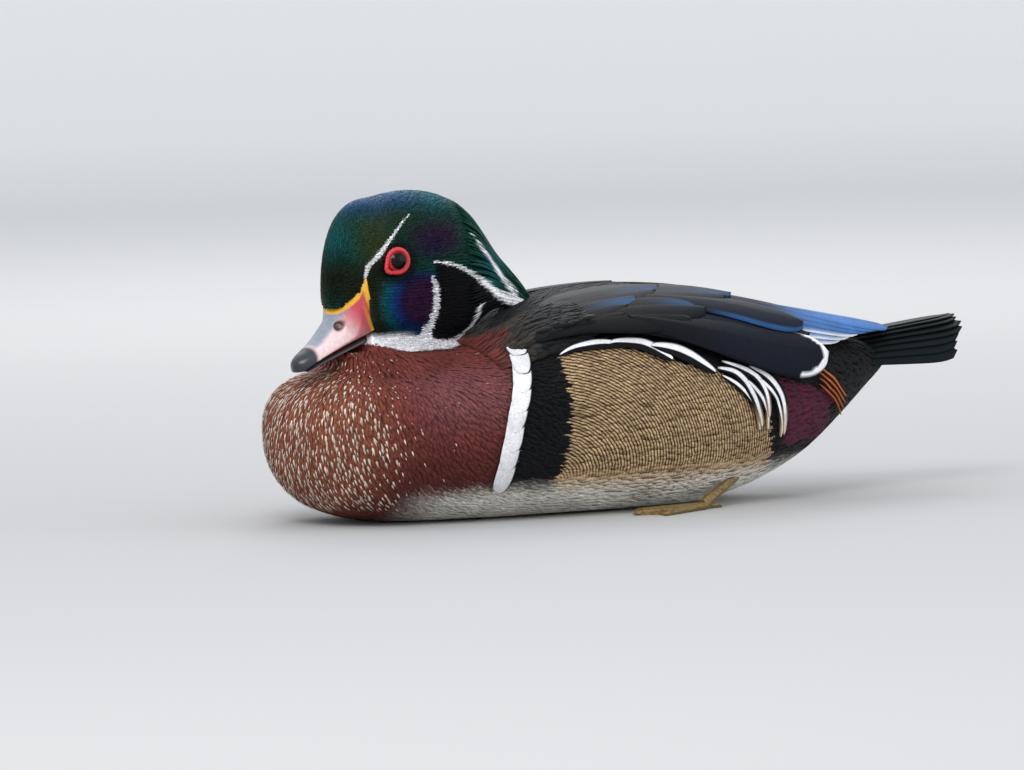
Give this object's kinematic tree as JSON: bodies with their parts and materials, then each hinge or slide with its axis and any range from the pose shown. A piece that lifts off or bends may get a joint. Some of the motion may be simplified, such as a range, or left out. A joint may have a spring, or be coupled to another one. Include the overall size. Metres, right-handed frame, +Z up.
{
  "type": "wood duck",
  "caption": "Drake wood duck resting on its belly, crested head turned a little to its left, wings folded, life size",
  "frame": {"origin": "Under the middle of the duck's bounding box, on the floor that its belly rests on", "axes": "+Z up. The duck faces -X, its tail is towards +X, its left side is -Y and its right side is +Y"},
  "size_m": [0.364, 0.1554, 0.1574],
  "materials": {
    "body_plumage": "soft feathers, chestnut breast and finely barred buff flanks",
    "head_plumage": "silky iridescent green, blue and purple feathers with white lines",
    "wing_plumage": "black feathers with a blue sheen and white edges",
    "bill": "smooth horn, pale pink and red with a yellow base and black nail",
    "eye": "wet and glossy, red iris and black pupil",
    "eyelid": "bare red skin, slightly glossy",
    "feet": "scaly dull yellow skin with dark webs"
  },
  "bodies": {
    "root": {"torso": "body_plumage", "neck": "body_plumage", "head": "head_plumage", "bill_upper": "bill", "bill_lower": "bill", "eye_left": "eye", "eye_right": "eye", "eyelid_left": "eyelid", "eyelid_right": "eyelid", "wing_left": "wing_plumage", "wing_right": "wing_plumage", "tail": "wing_plumage", "foot_left": "feet", "foot_right": "feet"}
  },
  "joints": []
}
